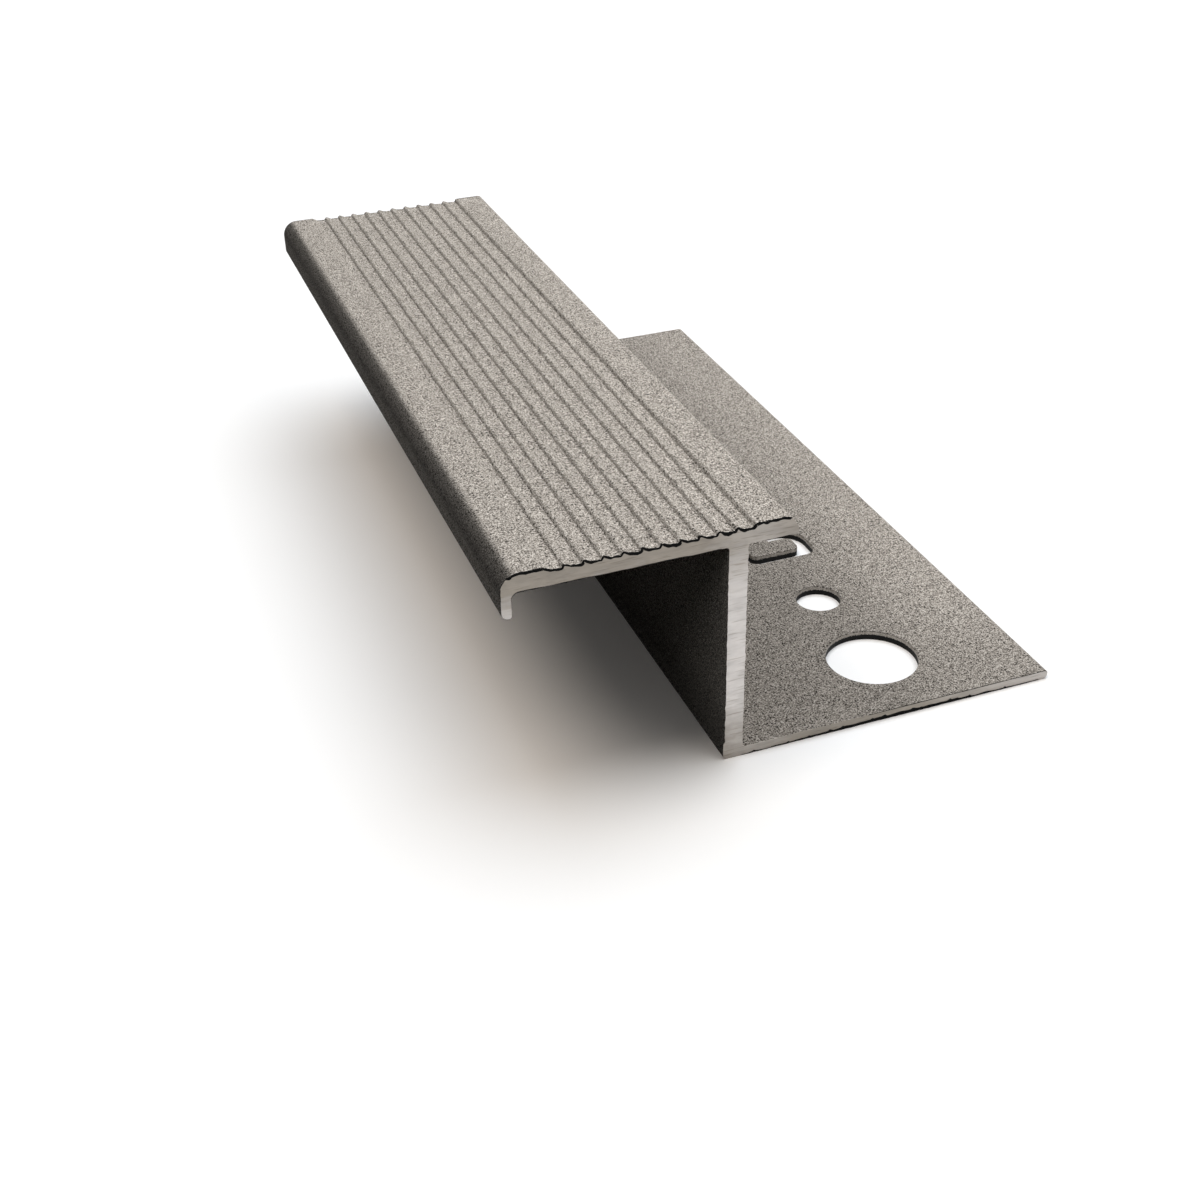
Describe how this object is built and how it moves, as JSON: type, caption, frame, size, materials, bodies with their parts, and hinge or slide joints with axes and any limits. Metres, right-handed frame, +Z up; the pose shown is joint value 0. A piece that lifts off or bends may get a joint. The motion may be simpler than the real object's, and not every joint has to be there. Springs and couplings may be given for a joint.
{
  "type": "stair nosing",
  "caption": "Extruded stair nosing with a ribbed anti-slip tread, a turned-down lip, an upright web and a punched flange, coated in textured warm grey.",
  "frame": {"origin": "centre of the bounding box at the underside of the flange", "axes": "+Y along the profile's length, +X across it from the lip towards the flange, +Z up"},
  "size_m": [0.056, 0.095, 0.025],
  "materials": {
    "coated_aluminium": "fine-textured powder coating in warm grey with darker and lighter speckles; the two sawn ends are bare metal"
  },
  "bodies": {
    "root": {"nosing_profile": "coated_aluminium"}
  },
  "joints": []
}
